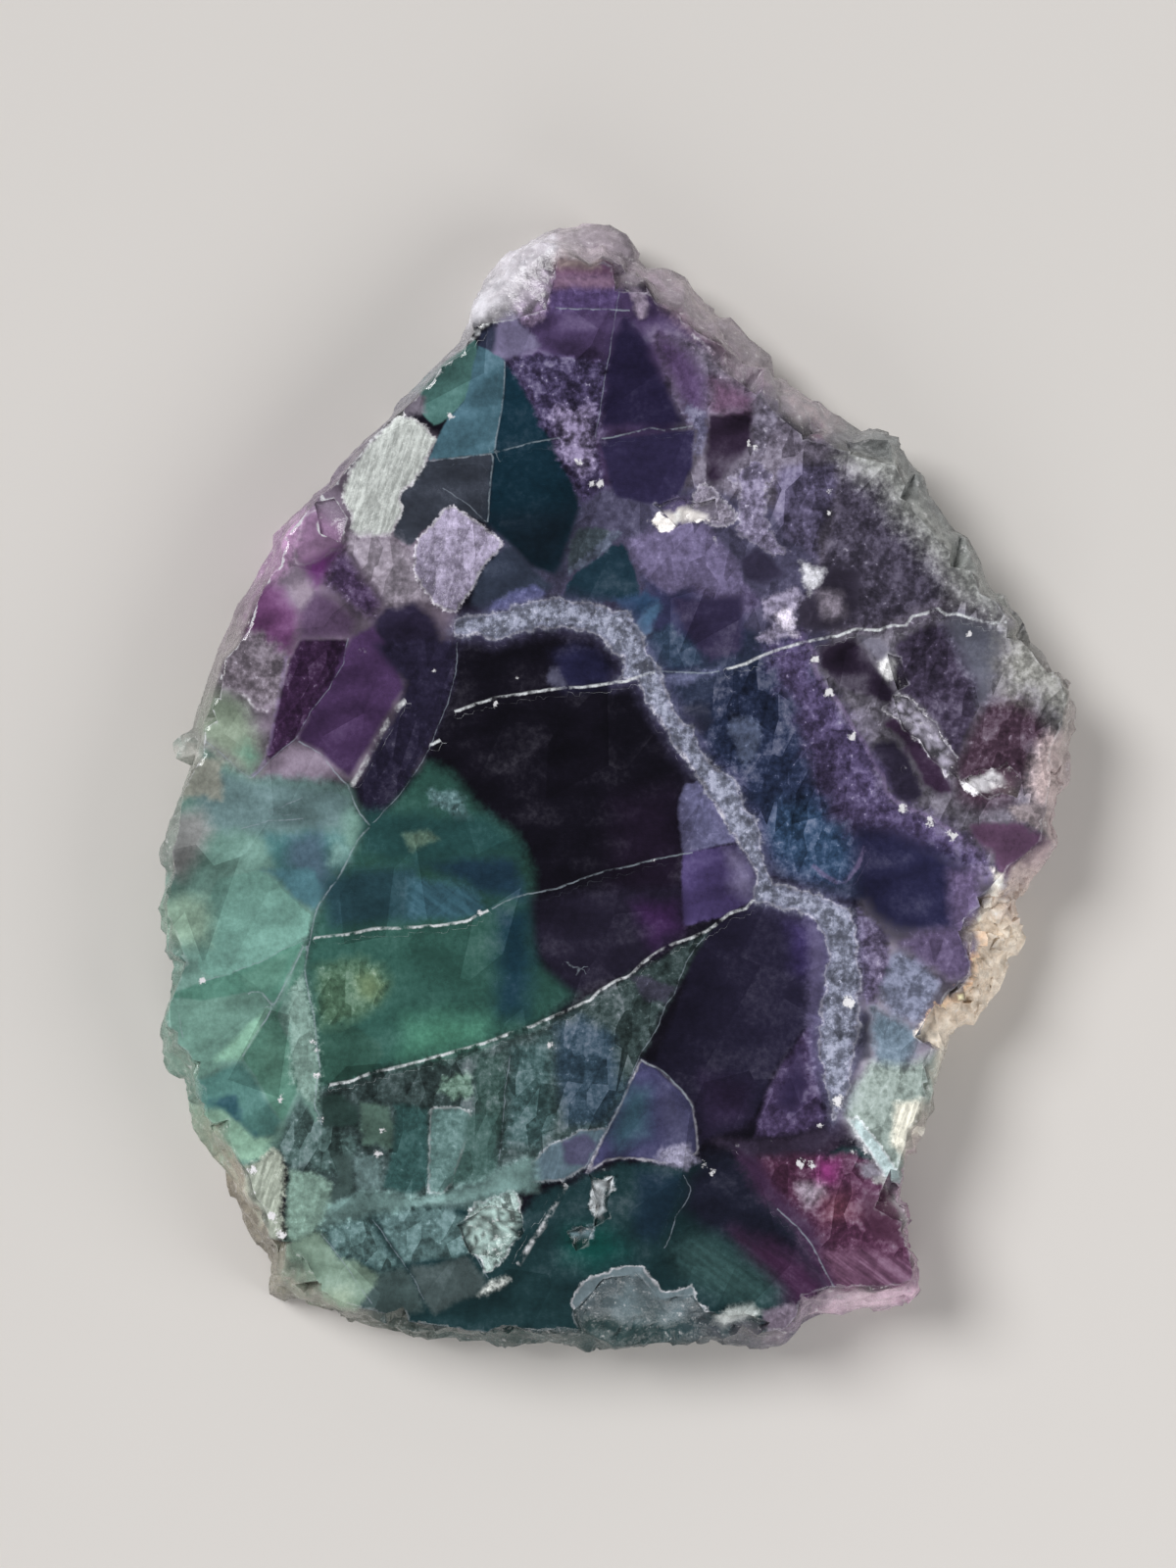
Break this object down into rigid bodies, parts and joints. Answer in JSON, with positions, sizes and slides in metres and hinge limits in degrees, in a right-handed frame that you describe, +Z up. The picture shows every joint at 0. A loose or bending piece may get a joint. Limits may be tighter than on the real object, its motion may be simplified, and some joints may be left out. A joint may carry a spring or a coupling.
{
  "type": "fluorite slab",
  "caption": "Flat polished slab of banded purple and teal fluorite with a natural broken rim, lying on its sawn back.",
  "frame": {"origin": "middle of the slab's box, on the sawn back that it rests on", "axes": "+Y along the slab's length towards its pointed end, +X across its width, +Z up out of the polished face"},
  "size_m": [0.0936, 0.1152, 0.012],
  "materials": {
    "fluorite": "polished"
  },
  "bodies": {
    "root": {"fluorite_slab": "fluorite"}
  },
  "joints": []
}
